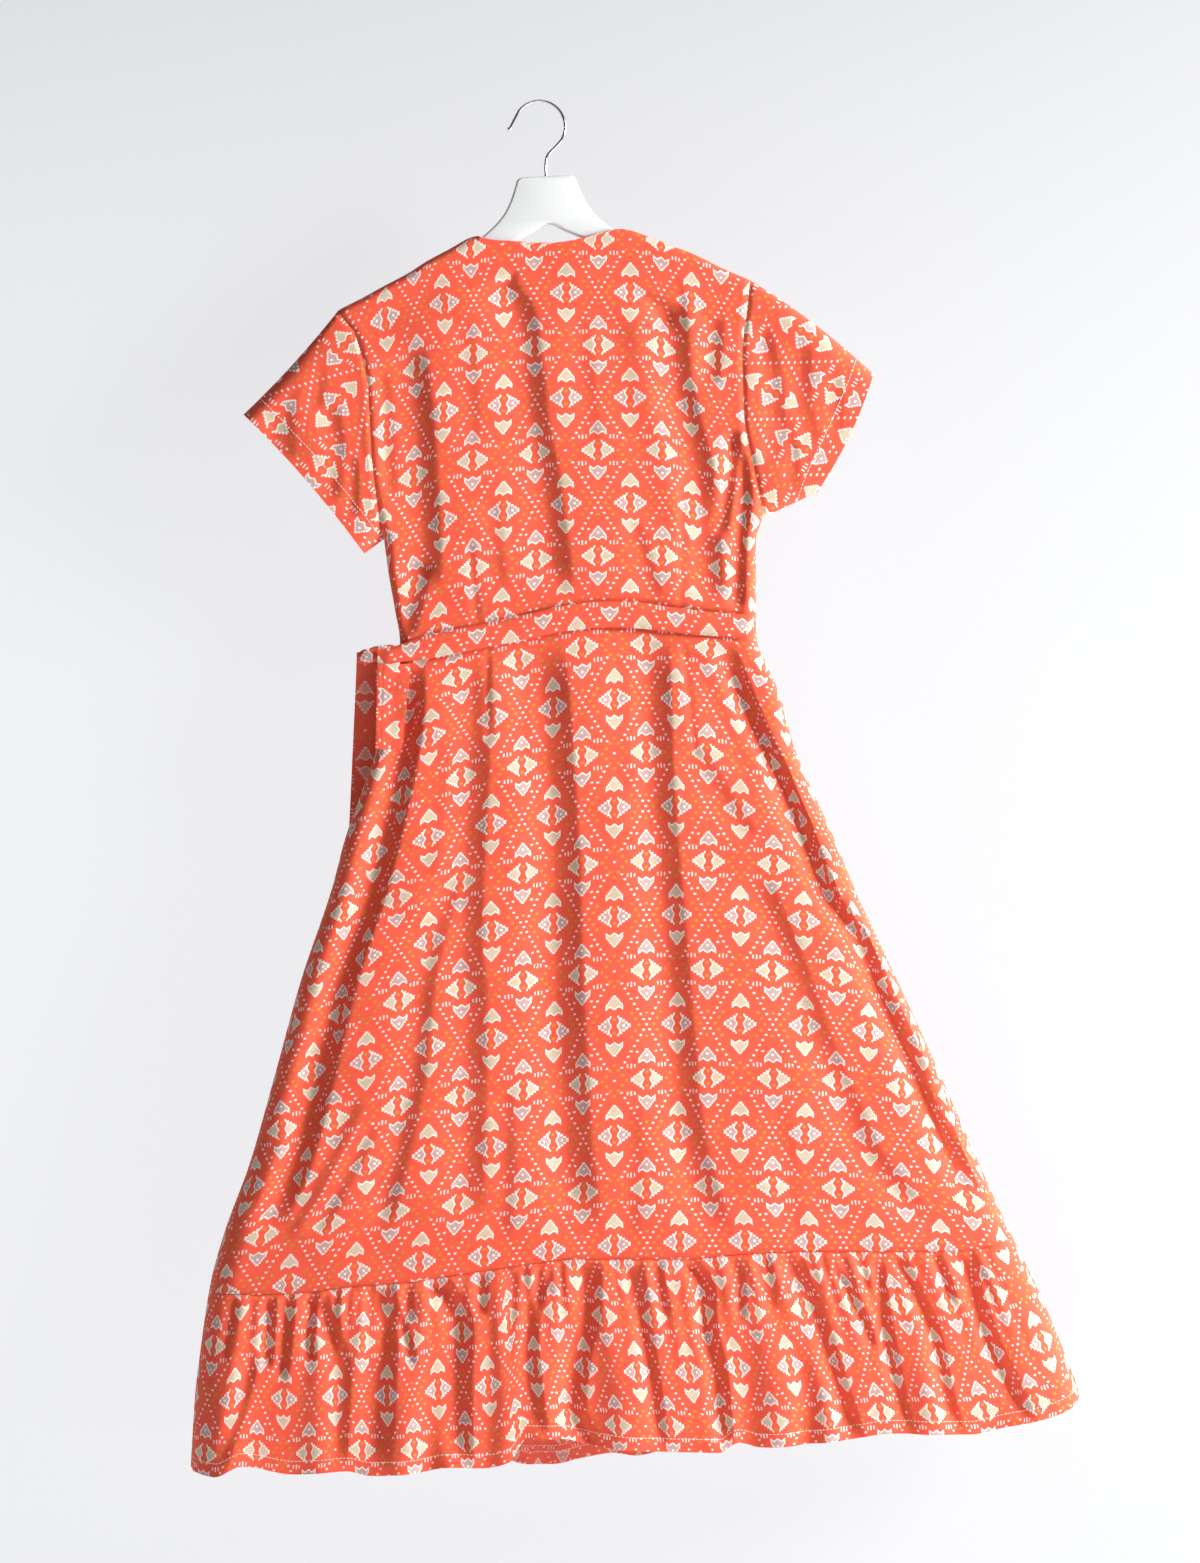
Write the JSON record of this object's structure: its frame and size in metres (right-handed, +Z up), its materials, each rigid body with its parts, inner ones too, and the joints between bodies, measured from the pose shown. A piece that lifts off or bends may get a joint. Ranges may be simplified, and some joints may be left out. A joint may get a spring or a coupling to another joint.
{
  "type": "wrap dress on a hanger",
  "caption": "Short-sleeved midi wrap dress with a belt and a gathered hem ruffle, hanging flat on a wooden hanger with a wire hook.",
  "frame": {"origin": "underside of the top of the hanger's hook, where a rod or nail holds it", "axes": "+Z up, +X to the right seen from the dress's back, +Y out of the dress's front"},
  "size_m": [0.8524, 0.093, 1.3158],
  "materials": {
    "printed_cloth": "light plain-woven cotton or viscose, coral red with a small cream, grey and ochre repeat",
    "hanger_wood": "wood under smooth white paint",
    "hook_wire": "bright plated round wire"
  },
  "bodies": {
    "root": {"hanger_body": "hanger_wood", "hanger_hook": "hook_wire", "back_bodice": "printed_cloth", "front_bodice_outer": "printed_cloth", "front_bodice_inner": "printed_cloth", "sleeve_left": "printed_cloth", "sleeve_right": "printed_cloth", "back_skirt": "printed_cloth", "front_skirt_outer": "printed_cloth", "front_skirt_inner": "printed_cloth", "back_ruffle": "printed_cloth", "front_ruffle_outer": "printed_cloth", "front_ruffle_inner": "printed_cloth", "belt": "printed_cloth", "tie_turn": "printed_cloth", "tie_tail_short": "printed_cloth", "tie_tail_long": "printed_cloth"}
  },
  "joints": []
}
